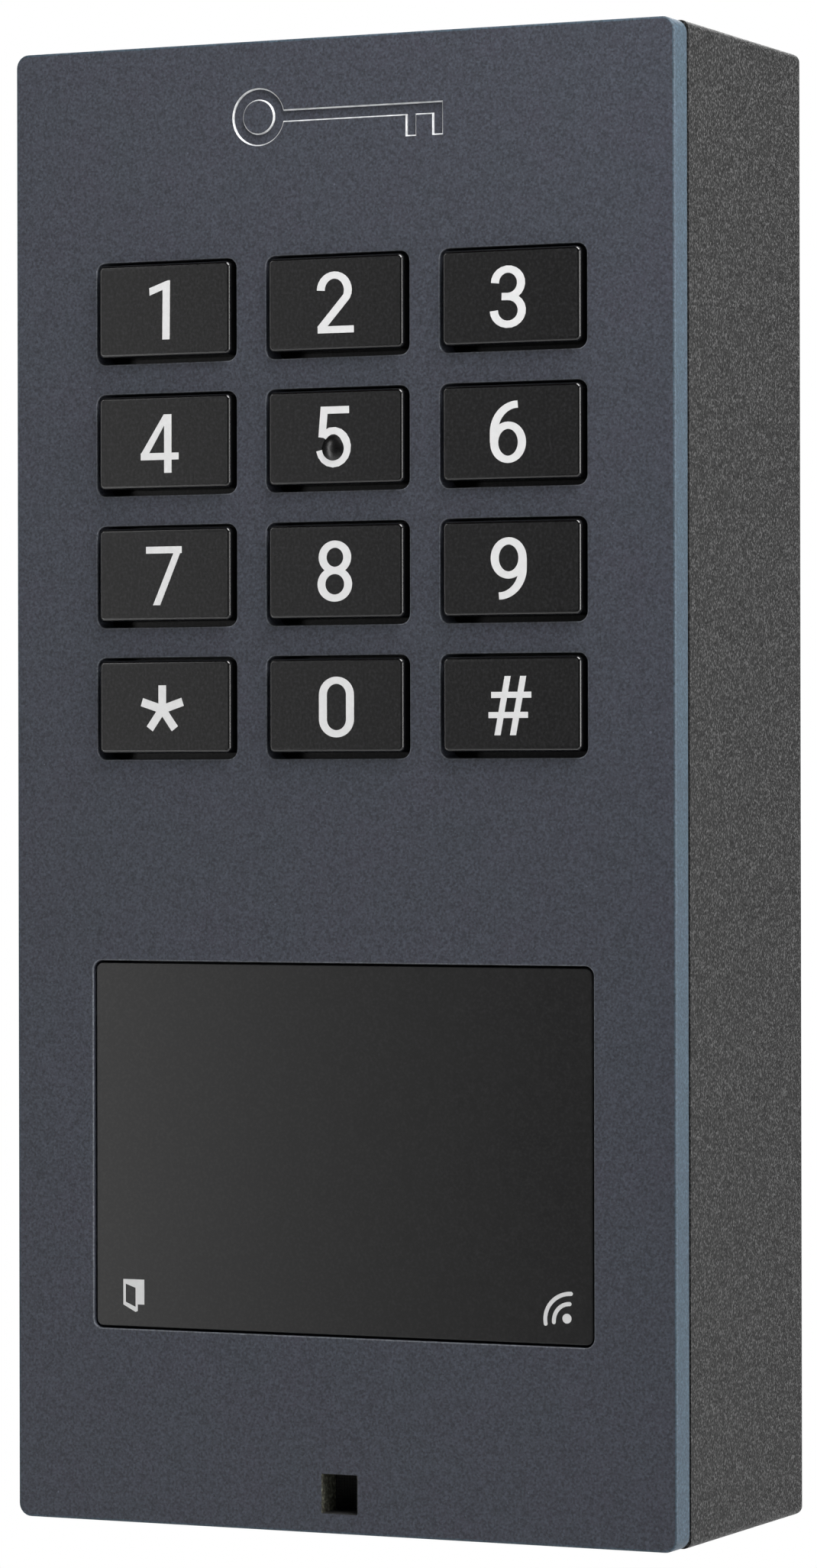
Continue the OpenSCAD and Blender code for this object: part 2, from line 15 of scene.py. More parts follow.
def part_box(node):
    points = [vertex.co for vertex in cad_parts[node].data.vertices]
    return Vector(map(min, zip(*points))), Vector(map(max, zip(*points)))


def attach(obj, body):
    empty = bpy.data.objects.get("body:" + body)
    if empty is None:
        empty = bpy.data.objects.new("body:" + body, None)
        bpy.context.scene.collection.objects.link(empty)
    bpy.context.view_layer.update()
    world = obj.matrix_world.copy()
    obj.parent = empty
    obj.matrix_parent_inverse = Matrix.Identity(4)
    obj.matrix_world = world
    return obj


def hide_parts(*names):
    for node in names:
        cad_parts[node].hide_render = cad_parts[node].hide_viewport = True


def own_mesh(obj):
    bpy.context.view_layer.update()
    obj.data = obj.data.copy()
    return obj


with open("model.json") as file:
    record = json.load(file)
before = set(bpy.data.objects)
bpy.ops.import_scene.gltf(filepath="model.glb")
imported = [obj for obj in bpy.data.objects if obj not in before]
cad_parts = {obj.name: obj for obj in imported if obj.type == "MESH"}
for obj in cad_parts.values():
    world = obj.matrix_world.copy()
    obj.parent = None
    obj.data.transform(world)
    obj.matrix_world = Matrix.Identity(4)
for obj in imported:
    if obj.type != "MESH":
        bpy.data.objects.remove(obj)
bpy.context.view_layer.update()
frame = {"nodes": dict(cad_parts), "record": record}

MM = 0.001
KEYS = ["1", "2", "3", "4", "5", "6", "7", "8", "9", "star", "0", "hash"]
SLOT_OF = {part["node"]: part["material_slot"] for part in frame["record"]["subparts"]}


def box_mm(node):
    """Lowest and highest corner of a CAD node at rest, in millimetres."""
    low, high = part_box(node)
    return low / MM, high / MM


PLATE_LOW, PLATE_HIGH = box_mm("front_plate")
PLATE_FRONT, PLATE_BACK = PLATE_LOW.y, PLATE_HIGH.y
PLATE_W, PLATE_H = PLATE_HIGH.x - PLATE_LOW.x, PLATE_HIGH.z - PLATE_LOW.z
PLATE_CORNER_R = 1.4
PLATE_EDGE_R = 0.25
PLATE_REAR_EDGE_R = 0.08
OPENING_EDGE_R = 0.12
OPENING_CORNER_R = 1.0

KEY_FLANGE_EXTRA = Vector((2.5, 2.6))    # how much wider and higher the flange is than the key
OPENING_EXTRA = 1.2                      # how much larger the plate's opening is than the key
KEY_FLANGE_T = 0.9
FLANGE_CORNER_R = 0.3
KEY_CORNER_R = 0.6
KEY_EDGE_R = 0.3
KEY_EDGE_DEPTH = 0.45
KEY_GROWTH = 0.25                        # how much larger the faces are than the CAD keys
KEY_SHIFT = Vector((0.12, 0.18))         # how far they sit off the middle of their openings
PIP_R, PIP_H = 1.28, 0.35
PIP_SHIFT = Vector((-0.12, -1.0))        # how far the pip sits off the middle of its key
PIP_FOOT_ANGLE = 25                      # the pip's foot is steeper than this and stays a sharp edge

WINDOW_FLANGE = 1.8
WINDOW_FLANGE_T = 1.0
WINDOW_GAP = 0.2
WINDOW_CORNER_R = 0.75
WINDOW_EDGE_R = 0.18
ICON_DROP = 15.75                        # how far the window's signs sit below its middle
DOOR_X, RADIO_X = -23.8, 24.6

SOUND_W = 4.0
SOUND_RISE = 4.1                         # centre of the sound opening above the plate's bottom
SOUND_CORNER_R, SOUND_CHAMFER = 0.1, 0.06
SIGN_W = 24.0
SIGN_RISE = 146.1                        # centre of the engraved sign above the plate's bottom
SIGN_DEPTH = 0.3
SIGN_CHAMFER = 0.13
SCREW_PIT_R, POST_PIT_R, PIT_DEPTH = 1.0, 1.3, 2.0
SCREW_HEAD_R = 1.9
POST_R = 2.6                             # from the middle of a six-sided pillar to its corners
RETAINER_MARGIN = 2.2                    # from the retainer's edge to its screws
INK_T = 0.02                             # how far printed signs stand out
INK_ROOT = 0.05                          # how deep they reach into what they are printed on


# Flat outlines in X and Z

def arc(cx, cz, rx, rz, start, end, steps=16):
    """Points along an arc of an ellipse between two angles in degrees."""
    angles = [math.radians(start + (end - start) * i / steps) for i in range(steps + 1)]
    return [(cx + rx * math.cos(a), cz + rz * math.sin(a)) for a in angles]


def circle(cx, cz, r, steps=32):
    return arc(cx, cz, r, r, 0, 360, steps)[:-1]


def round_rect(cx, cz, w, h, r, steps=6):
    """Rectangle with round corners, anticlockwise."""
    points = []
    for sx, sz, start in ((1, 1, 0), (-1, 1, 90), (-1, -1, 180), (1, -1, 270)):
        points += arc(cx + sx * (w / 2 - r), cz + sz * (h / 2 - r), r, r, start, start + 90, steps)
    return points


def rectangle(x0, x1, z0, z1):
    return [(x0, z0), (x1, z0), (x1, z1), (x0, z1)]


def anticlockwise(points):
    turns = sum(points[i - 1].cross(points[i]) for i in range(len(points)))
    return points if turns > 0 else points[::-1]


def grow(outline, distance):
    """The anticlockwise outline moved outwards by a distance, with mitred corners."""
    moved = []
    for i, point in enumerate(outline):
        here = Vector(point)
        before = (here - Vector(outline[i - 1])).normalized()
        after = (Vector(outline[(i + 1) % len(outline)]) - here).normalized()
        normal = Vector((before.y + after.y, -before.x - after.x)).normalized()
        mitre = max(normal.dot(Vector((after.y, -after.x))), 0.3)
        moved.append(tuple(here + normal * distance / mitre))
    return moved


def rounded_edge(radius, surface, side, steps=4, depth=None):
    """Profile (distance outwards, y) of a quarter round from a surface at y to the side behind
    it, for Shell.sweep. A depth of its own makes it elliptical."""
    angles = [math.radians(90 * i / steps) for i in range(steps + 1)]
    toward = (depth or radius) * (1 if side > surface else -1)
    return [(radius * (math.sin(a) - 1), surface + toward * (1 - math.cos(a))) for a in angles]


# Meshes

class Shell:
    """Collects walls and caps of a closed mesh."""

    def __init__(self):
        self.bm = bmesh.new()

    def ring(self, outline, y):
        return [self.bm.verts.new((x * MM, y * MM, z * MM)) for x, z in outline]

    def wall(self, first, second, material=0):
        for i in range(len(first)):
            face = self.bm.faces.new((first[i - 1], first[i], second[i], second[i - 1]))
            face.material_index = material

    def sweep(self, outline, profile, material=0, rim_material=None):
        """Walls along an outline; the profile lists (distance outwards, y). All but the last wall
        can have a material of their own. Returns both end rings."""
        rings = [self.ring(grow(outline, out), y) for out, y in profile]
        for first, second in zip(rings, rings[1:]):
            at_rim = rim_material is not None and second is not rings[-1]
            self.wall(first, second, rim_material if at_rim else material)
        return rings[0], rings[-1]

    def cap(self, outer, holes=(), material=0):
        """Flat face inside a ring of vertices, apart from the rings in holes."""
        loops = [outer, *holes]
        corners = [v for loop in loops for v in loop]
        flat = [[Vector((v.co.x / MM, v.co.z / MM, 0)) for v in loop] for loop in loops]
        for triangle in tessellate_polygon(flat):
            face = self.bm.faces.new([corners[i] for i in triangle])
            face.material_index = material

    def pit(self, outline, surface, depth):
        """Blind hole; returns its ring at the surface."""
        mouth, floor = self.sweep(outline, [(0, surface), (0, surface - depth)])
        self.cap(floor)
        return mouth

    def finish(self, name, materials, body, slot=None, replaces=(), smooth_angle=35):
        bmesh.ops.recalc_face_normals(self.bm, faces=self.bm.faces)
        mesh = bpy.data.meshes.new(name)
        self.bm.to_mesh(mesh)
        self.bm.free()
        for material in materials:
            mesh.materials.append(material)
        mesh.shade_smooth()
        mesh.set_sharp_from_angle(angle=math.radians(smooth_angle))
        piece = bpy.data.objects.new(name, mesh)
        bpy.context.scene.collection.objects.link(piece)
        weighted = piece.modifiers.new("weighted_normals", "WEIGHTED_NORMAL")
        weighted.keep_sharp = True
        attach(piece, body)
        if replaces:
            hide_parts(*replaces)
        return piece


def flat_solid(polygons, front, back):
    """Shell of the union of flat polygons, between two depths."""
    coords, outlines = [], []
    for polygon in polygons:
        outlines.append(list(range(len(coords), len(coords) + len(polygon))))
        coords += anticlockwise([Vector(point) for point in polygon])
    verts, _, faces, _, _, owners = delaunay_2d_cdt(coords, [], outlines, 1, 1e-4)
    kept = [face for face, owner in zip(faces, owners) if owner]
    shell = Shell()
    near = shell.ring([tuple(v) for v in verts], front)
    far = shell.ring([tuple(v) for v in verts], back)
    sides = set()
    for face in kept:
        shell.bm.faces.new([near[i] for i in face])
        shell.bm.faces.new([far[i] for i in reversed(face)])
        sides |= {(face[i - 1], face[i]) for i in range(len(face))}
    for a, b in sides:
        if (b, a) not in sides:
            shell.bm.faces.new((near[a], far[a], far[b], near[b]))
    loose = [v for v in shell.bm.verts if not v.link_faces]
    bmesh.ops.delete(shell.bm, geom=loose, context="VERTS")
    return shell


# Printed signs, in millimetres from the middle of a key

PEN = Vector((0.45, 0.37))               # half the width of an upright stroke and of a level one


def stroke(path, pen=PEN, closed=False):
    """Four-sided pieces of a pen stroke along a path."""
    count = len(path)
    sides = []
    for i, point in enumerate(path):
        before = path[i - 1] if i or closed else point
        after = path[(i + 1) % count] if i + 1 < count or closed else point
        along = (Vector(after) - Vector(before)).normalized()
        normal = Vector((-along.y, along.x))
        reach = Vector((pen.x ** 2 * normal.x, pen.y ** 2 * normal.y))
        reach /= math.hypot(pen.x * normal.x, pen.y * normal.y)
        sides.append((Vector(point) + reach, Vector(point) - reach))
    pairs = range(0 if closed else 1, count)
    return [[sides[i - 1][1], sides[i][1], sides[i][0], sides[i - 1][0]] for i in pairs]


def ellipse_ring(cx, cz, rx, rz):
    return stroke(arc(cx, cz, rx, rz, 0, 360, 40)[:-1], closed=True)


def sign_six():
    bowl = ellipse_ring(-0.2, -0.88, 1.54, 1.73)
    return bowl + stroke([(-1.76, -0.88)] + arc(0.88, 0.15, 2.64, 2.81, 180, 90))


def sign_star(arms=5, length=2.5, half_width=0.44, hub=(-0.14, -0.1)):
    pieces = []
    for arm in range(arms):
        angle = math.radians(90 + 360 / arms * arm)
        along = Vector((math.cos(angle), math.sin(angle)))
        side = Vector((-along.y, along.x)) * half_width
        middle = Vector(hub)
        pieces.append([middle - side, middle + along * length - side,
                       middle + along * length + side, middle + side])
    return pieces


def sign_hash(lean=0.19, half_width=0.34, half_height=3.0, bar=0.31):
    slant = lean * half_height
    uprights = [[(x - half_width - slant, -half_height), (x + half_width - slant, -half_height),
                 (x + half_width + slant, half_height), (x - half_width + slant, half_height)]
                for x in (-0.86, 0.86)]
    bars = [rectangle(-2.12, 2.32, 1.09 - bar, 1.09 + bar),
            rectangle(-2.42, 1.95, -0.95 - bar, -0.95 + bar)]
    return uprights + bars


def turned(polygons, cx, cz):
    """Polygons turned by half a turn about a point."""
    return [[(2 * cx - x, 2 * cz - z) for x, z in polygon] for polygon in polygons]


def key_signs():
    """The flat pieces of each key's sign."""
    six = sign_six()
    return {
        "1": [[(-0.05, -2.92), (0.8, -2.92), (0.86, 3.22), (0.6, 3.22), (0.0, 2.25)],
              [(0.0, 2.25), (0.6, 3.22), (-1.57, 2.47), (-1.52, 1.7)]],
        "2": stroke(arc(0.07, 1.47, 1.54, 1.56, 180, -25) + [(-1.52, -2.48)])
             + [rectangle(-1.83, 2.28, -2.92, -2.2)],
        "3": stroke(arc(-0.17, 1.5, 1.45, 1.39, 180, -90) + [(-0.88, 0.12)])
             + stroke(arc(-0.19, -1.3, 1.55, 1.41, 90, -180)),
        "4": [rectangle(0.14, 1.0, -3.03, 3.06), rectangle(-2.6, 1.83, -1.67, -0.94),
              [(0.1, 3.06), (-2.6, -1.05), (-2.6, -1.3), (-1.65, -1.0), (0.85, 3.06)]],
        "5": [rectangle(-1.45, 1.72, 2.58, 3.33),
              [(-1.5, 3.33), (-1.77, 0.2), (-0.97, 0.08), (-0.65, 3.33)]]
             + stroke(arc(-0.07, -0.87, 1.54, 1.71, 142, -170)),
        "6": six,
        "7": [rectangle(-2.0, 2.17, 2.36, 3.08),
              [(2.17, 2.8), (1.22, 2.4), (-1.2, -3.02), (-0.36, -3.02)],
              [(2.17, 3.08), (1.22, 2.4), (2.17, 2.8)]],
        "8": ellipse_ring(0.08, 1.6, 1.4, 1.35) + ellipse_ring(0.06, -1.17, 1.52, 1.42),
        "9": turned(six, -0.18, 0.15),
        "star": sign_star(),
        "0": stroke(arc(0.22, 1.25, 1.54, 1.5, 0, 180, 24) + arc(0.22, -1.25, 1.54, 1.5, 180, 360, 24),
                    closed=True),
        "hash": sign_hash(),
    }


def door_sign():
    """A door leaf standing open in its frame."""
    return [
        [(0.1, -1.72), (0.35, -1.62), (0.35, 0.95), (0.1, 0.85)],
        [(-1.34, 1.68), (-1.34, -0.98), (-1.06, -0.86), (-1.06, 1.68)],
        [(-1.34, -0.98), (0.1, -1.72), (0.1, -1.2), (-1.1, -0.68)],
        [(-1.34, 1.68), (-1.06, 1.2), (0.1, 0.8), (0.35, 1.68)],
        rectangle(0.1, 1.12, -0.93, 1.68),
    ]


def round_end(cx, cz, r):
    return circle(cx, cz, r, 20)


def radio_sign(half_width=0.21):
    """A dot with two quarter waves round it."""
    pen = Vector((half_width, half_width))
    pieces = [round_end(0.81, -0.62, 0.5)]
    near = arc(1.1, -0.9, 1.73, 1.76, 90, 184, 20)
    far = arc(1.25, -0.75, 2.83, 2.65, 90, 190, 24)
    for wave in (near, far):
        pieces += stroke(wave, pen)
        pieces += [round_end(*wave[0], half_width), round_end(*wave[-1], half_width)]
    return pieces


# Materials

class Paint:
    """A Principled material in the making; sizes of patterns are in millimetres."""

    def __init__(self, name, colour, roughness, **inputs):
        self.material = bpy.data.materials.new(name)
        self.material.use_nodes = True
        self.nodes = self.material.node_tree.nodes
        self.links = self.material.node_tree.links
        self.shader = self.nodes["Principled BSDF"]
        self.shader.inputs["Base Color"].default_value = (*colour, 1)
        self.shader.inputs["Roughness"].default_value = roughness
        for key, value in inputs.items():
            self.shader.inputs[key.replace("_", " ")].default_value = value
        self.colour = colour
        self.place = self.nodes.new("ShaderNodeTexCoord").outputs["Object"]
        self.normal = None

    def noise(self, size, detail=2.0, seed=0.0, stretch=None):
        """Noise with features of about this size."""
        node = self.nodes.new("ShaderNodeTexNoise")
        node.noise_dimensions = "4D"
        node.inputs["W"].default_value = seed
        node.inputs["Scale"].default_value = 1 / (size * MM)
        node.inputs["Detail"].default_value = detail
        place = self.place
        if stretch:
            mapping = self.nodes.new("ShaderNodeMapping")
            mapping.inputs["Scale"].default_value = stretch
            self.links.new(place, mapping.inputs["Vector"])
            place = mapping.outputs["Vector"]
        self.links.new(place, node.inputs["Vector"])
        return node.outputs["Fac"]

    def ramp(self, value, low, high):
        """The value spread so that low becomes 0 and high becomes 1."""
        node = self.nodes.new("ShaderNodeMapRange")
        node.inputs["From Min"].default_value = low
        node.inputs["From Max"].default_value = high
        self.links.new(value, node.inputs["Value"])
        return node.outputs["Result"]

    def tint(self, value, colour):
        """Mixes the colour so far towards another one by a value from 0 to 1."""
        mix = self.nodes.new("ShaderNodeMix")
        mix.data_type = "RGBA"
        self.links.new(value, mix.inputs["Factor"])
        socket = self.shader.inputs["Base Color"]
        if socket.is_linked:
            self.links.new(socket.links[0].from_socket, mix.inputs["A"])
        else:
            mix.inputs["A"].default_value = socket.default_value
        mix.inputs["B"].default_value = (*colour, 1)
        self.links.new(mix.outputs["Result"], socket)

    def gloss(self, value, low, high):
        """Roughness from low to high by a value from 0 to 1."""
        node = self.nodes.new("ShaderNodeMapRange")
        node.inputs["To Min"].default_value = low
        node.inputs["To Max"].default_value = high
        self.links.new(value, node.inputs["Value"])
        self.links.new(node.outputs["Result"], self.shader.inputs["Roughness"])

    def bump(self, height, depth, strength=1.0):
        """Adds relief this many millimetres deep."""
        node = self.nodes.new("ShaderNodeBump")
        node.inputs["Strength"].default_value = strength
        node.inputs["Distance"].default_value = depth * MM
        self.links.new(height, node.inputs["Height"])
        if self.normal:
            self.links.new(self.normal, node.inputs["Normal"])
        self.normal = node.outputs["Normal"]
        self.links.new(self.normal, self.shader.inputs["Normal"])


def shade(colour, factor):
    return tuple(c * factor for c in colour)


def coat_paint(name, colour):
    """Fine-grained powder coat with faint violet clouds and a few light specks."""
    paint = Paint(name, colour, 0.6, Specular_IOR_Level=0.38)
    violet = (colour[0] * 1.08, colour[1] * 0.96, colour[2] * 1.02)
    paint.tint(paint.ramp(paint.noise(6.0, 3, 1), 0.35, 0.7), violet)
    paint.tint(paint.ramp(paint.noise(0.26, 1, 2), 0.42, 0.7), shade(colour, 1.55))
    paint.tint(paint.ramp(paint.noise(0.24, 1, 3), 0.45, 0.72), shade(colour, 0.58))
    paint.tint(paint.ramp(paint.noise(0.5, 0, 4), 0.86, 0.87), shade(colour, 2.2))
    paint.gloss(paint.noise(0.35, 2, 5), 0.54, 0.68)
    paint.bump(paint.noise(0.4, 2, 6), 0.03, 0.9)
    return paint.material


def bare_cut_paint():
    """Dark, torn-looking metal inside the sound opening."""
    paint = Paint("bare_cut", (0.050, 0.052, 0.040), 0.7, Specular_IOR_Level=0.2)
    paint.tint(paint.ramp(paint.noise(0.4, 2, 1), 0.46, 0.66), (0.16, 0.165, 0.125))
    paint.tint(paint.ramp(paint.noise(0.5, 2, 2), 0.5, 0.66), (0.022, 0.015, 0.013))
    paint.bump(paint.noise(0.4, 4, 3), 0.12)
    return paint.material


def bright_cut_paint():
    """Polished chamfer left by the engraving tool."""
    paint = Paint("bright_cut", (0.72, 0.73, 0.74), 0.5, Metallic=0.3)
    paint.tint(paint.ramp(paint.noise(0.9, 2, 1), 0.4, 0.7), (0.46, 0.47, 0.48))
    paint.gloss(paint.noise(0.25, 2, 2), 0.42, 0.6)
    paint.bump(paint.noise(0.12, 1, 3), 0.01)
    return paint.material


def grained_plastic(name, colour, grain, depth):
    """Moulded plastic with a spark-eroded grain."""
    roughness = 0.6
    paint = Paint(name, colour, roughness, Specular_IOR_Level=0.3)
    bumps = paint.noise(grain, 0, 1, (1, 1, 0.8))
    pores = paint.noise(grain, 0, 2, (1, 1, 0.8))
    paint.tint(paint.ramp(bumps, 0.5, 0.66), shade(colour, 4.8))
    paint.tint(paint.ramp(pores, 0.5, 0.64), shade(colour, 0.15))
    paint.gloss(pores, roughness - 0.12, roughness + 0.1)
    paint.bump(bumps, depth, 0.9)
    paint.bump(pores, depth * 0.5, 0.9)
    return paint.material


def satin_plastic(name, colour, roughness, grain=0.25, depth=0.004, specks=1.3, **inputs):
    """Nearly smooth plastic with a faint skin texture and fine specks."""
    paint = Paint(name, colour, roughness, **inputs)
    paint.tint(paint.ramp(paint.noise(grain * 8, 2, 2), 0.35, 0.7), shade(colour, 0.88))
    paint.tint(paint.ramp(paint.noise(grain, 1, 1), 0.45, 0.75), shade(colour, specks))
    paint.gloss(paint.noise(grain * 2, 2, 3), roughness - 0.04, roughness + 0.06)
    paint.bump(paint.noise(grain, 2, 4), depth, 0.5)
    return paint.material


def metal_paint(name, colour, roughness):
    """Satin metal with fine, uneven dulling."""
    paint = Paint(name, colour, roughness, Metallic=1.0)
    dulling = paint.noise(0.3, 3, 1)
    paint.tint(paint.ramp(dulling, 0.3, 0.75), shade(colour, 0.8))
    paint.gloss(dulling, roughness - 0.08, roughness + 0.1)
    paint.bump(dulling, 0.01, 0.5)
    return paint.material


def rubber_paint(name, colour):
    """Matte rubber with faint clouds and a slightly rough skin."""
    paint = Paint(name, colour, 0.75)
    paint.tint(paint.ramp(paint.noise(0.4, 3, 1), 0.35, 0.7), shade(colour, 1.4))
    paint.gloss(paint.noise(1.5, 2, 2), 0.65, 0.85)
    paint.bump(paint.noise(0.25, 2, 3), 0.015, 0.5)
    return paint.material


def board_paint():
    """Green solder mask over copper tracks."""
    paint = Paint("circuit_board", (0.008, 0.10, 0.045), 0.32)
    tracks = paint.noise(2.4, 0, 1, (1, 1, 3))
    paint.tint(paint.ramp(tracks, 0.5, 0.52), (0.02, 0.17, 0.07))
    paint.bump(paint.ramp(tracks, 0.49, 0.53), 0.03)
    paint.gloss(paint.noise(0.5, 2, 2), 0.25, 0.42)
    return paint.material


def mesh_paint():
    """Fine woven mesh."""
    paint = Paint("mesh", (0.004, 0.004, 0.004), 0.8)
    for seed, along in enumerate(("X", "Z")):
        wave = paint.nodes.new("ShaderNodeTexWave")
        wave.bands_direction = along
        wave.inputs["Scale"].default_value = 1000
        paint.links.new(paint.place, wave.inputs["Vector"])
        paint.tint(paint.ramp(wave.outputs["Fac"], 0.7, 1.0), (0.012, 0.012, 0.012))
        paint.bump(wave.outputs["Fac"], 0.05)
    return paint.material


def ink_paint(name, colour):
    """White printing ink, very slightly uneven."""
    paint = Paint(name, colour, 0.5)
    paint.tint(paint.ramp(paint.noise(0.5, 2, 1), 0.3, 0.7), shade(colour, 0.95))
    paint.gloss(paint.noise(0.8, 2, 2), 0.42, 0.6)
    paint.bump(paint.noise(0.2, 2, 3), 0.004, 0.5)
    return paint.material


COAT = (0.0430, 0.0485, 0.0630)
# Lighter coat for the thin rounded rims of the plate's openings: a painted highlight line.
RIM_HIGHLIGHT_COAT = (0.10, 0.11, 0.125)
# Lighter, bluer copy of the coat for the plate's sides: painted sheen of the right-hand light.
SIDE_SHEEN_COAT = (0.0375, 0.0585, 0.0775)
HOUSING = (0.0128, 0.0128, 0.0128)
KEY_BLACK = (0.0014, 0.0014, 0.0015)
WINDOW_BLACK = (0.0025, 0.0025, 0.0026)

BY_SLOT = {
    "powder_coat": coat_paint("powder_coat", COAT),
    "gasket_rubber": rubber_paint("gasket_rubber", (0.018, 0.018, 0.018)),
    "zinc_steel": metal_paint("zinc_steel", (0.55, 0.57, 0.58), 0.35),
    "stainless_steel": metal_paint("stainless_steel", (0.6, 0.6, 0.61), 0.28),
    "housing_plastic": grained_plastic("housing_plastic", HOUSING, 0.19, 0.06),
    "wall_plate_plastic": satin_plastic("wall_plate_plastic", (0.024, 0.024, 0.025), 0.5,
                                        0.35, 0.03, 2.2),
    "seal_rubber": rubber_paint("seal_rubber", (0.012, 0.012, 0.012)),
    "inner_plastic": satin_plastic("inner_plastic", (0.022, 0.022, 0.024), 0.45),
    "silicone": rubber_paint("silicone", (0.16, 0.17, 0.19)),
    "circuit_board": board_paint(),
    "window_plastic": satin_plastic("window_plastic", WINDOW_BLACK, 0.32, 0.3, 0.006, 4.0),
    "lamp_resin": satin_plastic("lamp_resin", (0.75, 0.75, 0.7), 0.2),
    "copper": metal_paint("copper", (0.72, 0.36, 0.16), 0.3),
    "ferrite": satin_plastic("ferrite", (0.035, 0.035, 0.038), 0.6, grain=0.15),
    "mesh": mesh_paint(),
    "black_plastic": satin_plastic("black_plastic", (0.008, 0.008, 0.009), 0.5, grain=0.2),
    "brass": metal_paint("brass", (0.7, 0.5, 0.2), 0.3),
    "terminal_plastic": satin_plastic("terminal_plastic", (0.012, 0.09, 0.03), 0.45),
    "relay_plastic": satin_plastic("relay_plastic", (0.01, 0.01, 0.013), 0.4),
    "capacitor_can": satin_plastic("capacitor_can", (0.02, 0.03, 0.1), 0.35),
    "key_plastic": satin_plastic("key_plastic", KEY_BLACK, 0.38, 0.32, 0.03, 9.0,
                                 Specular_IOR_Level=0.37),
}
# The plate's sides get the bluer copy of the coat as painted sheen.
SIDE_SHEEN_PAINT = coat_paint("side_sheen_coat", SIDE_SHEEN_COAT)
# The rims of the openings get a lighter copy of the coat as a painted highlight.
RIM_HIGHLIGHT_PAINT = coat_paint("rim_highlight_coat", RIM_HIGHLIGHT_COAT)
BARE_CUT = bare_cut_paint()
BRIGHT_CUT = bright_cut_paint()
KEY_EDGE = satin_plastic("key_edge", KEY_BLACK, 0.18, depth=0.001, Specular_IOR_Level=0.8)
PIP_PLASTIC = satin_plastic("pip_plastic", KEY_BLACK, 0.27, depth=0.001, Specular_IOR_Level=0.7)
KEY_INK = ink_paint("key_ink", (0.79, 0.79, 0.79))
ICON_INK = ink_paint("icon_ink", (0.71, 0.71, 0.71))

# Places of these materials on the plate and on a key
COATED, SIDE_SHEEN, BARE, BRIGHT, RIM_HIGHLIGHT, SHADE_BLACK = range(6)
ROUNDING, PIP = 1, 2


# Pieces

def key_centre(key):
    low, high = box_mm("key_" + key)
    return (low.x + high.x) / 2, (low.z + high.z) / 2


def key_size():
    low, high = box_mm("key_1")
    return Vector((high.x - low.x, high.z - low.z)) - KEY_FLANGE_EXTRA


def engraved_sign(cx, cz):
    """Outline of an old-fashioned key lying on its side, and the round hole in its bow."""
    bow_r, hole_r, half_shank = 3.0, 1.7, 0.65
    bow_x, tip_x = cx - SIGN_W / 2 + bow_r, cx + SIGN_W / 2
    meet = math.degrees(math.asin(half_shank / bow_r))
    tooth_w, tooth_z = 1.2, cz - 2.8
    low = cz - half_shank
    outline = arc(bow_x, cz, bow_r, bow_r, meet, 360 - meet, 40)
    for tooth_x in (tip_x - 4.2, tip_x - tooth_w):
        outline += [(tooth_x, low), (tooth_x, tooth_z), (tooth_x + tooth_w, tooth_z)]
        if tooth_x + tooth_w < tip_x:
            outline.append((tooth_x + tooth_w, low))
    outline.append((tip_x, cz + half_shank))
    return outline, circle(bow_x, cz, hole_r)


def engrave(shell):
    """Cuts the engraved sign into the plate; returns its ring at the front."""
    outline, island = engraved_sign(0, PLATE_LOW.z + SIGN_RISE)
    floor = PLATE_FRONT + SIGN_DEPTH
    middle = PLATE_FRONT + SIGN_CHAMFER
    inwards = [(0, PLATE_FRONT), (-SIGN_CHAMFER, middle), (-SIGN_CHAMFER, floor)]
    outwards = [(-out, y) for out, y in inwards]
    mouth, edge = shell.sweep(outline, inwards, BRIGHT)
    top, inner_edge = shell.sweep(island, outwards, BRIGHT)
    shell.cap(edge, [inner_edge])
    shell.cap(top)
    return mouth


def plate_openings():
    """Outlines of the openings that go right through the plate."""
    size = key_size()
    outlines = []
    for key in KEYS:
        x, z = key_centre(key)
        w, h = size.x + OPENING_EXTRA, size.y + OPENING_EXTRA
        outlines.append(round_rect(x, z, w, h, OPENING_CORNER_R))
    low, high = box_mm("reader_window")
    window_w, window_h = high.x - low.x - 2 * WINDOW_FLANGE, high.z - low.z - 2 * WINDOW_FLANGE
    outlines.append(round_rect(0, (low.z + high.z) / 2, window_w, window_h, OPENING_CORNER_R))
    return outlines


def screw_pits(shell):
    """Blind holes in the rear of the plate for the CAD screws and pillars; returns their rings."""
    screw_x = box_mm("plate_screws")[1].x - SCREW_HEAD_R
    key_rows = [key_centre(key)[1] for key in ("2", "0")]
    low, high = box_mm("window_retainer")
    retainer_rows = [low.z + RETAINER_MARGIN, high.z - RETAINER_MARGIN]
    rows = [key_rows[0], sum(key_rows) / 2, key_rows[1]] + retainer_rows
    pits = [shell.pit(circle(side * screw_x, z, SCREW_PIT_R, 20), PLATE_BACK, PIT_DEPTH)
            for side in (-1, 1) for z in rows]
    post_corner = box_mm("board_posts")[1]
    post_x = post_corner.x - POST_R
    post_z = post_corner.z - POST_R * math.cos(math.radians(30))
    pits += [shell.pit(circle(sx * post_x, sz * post_z, POST_PIT_R, 20), PLATE_BACK, PIT_DEPTH)
             for sx in (-1, 1) for sz in (-1, 1)]
    return pits


def shade_level_walls(shell):
    """The level walls of the sound opening are painted near-black as shade; only the upright walls keep
    the bare cut.
    """
    for face in shell.bm.faces:
        if face.material_index == BARE:
            face.normal_update()
            if abs(face.normal.z) > 0.6:
                face.material_index = SHADE_BLACK


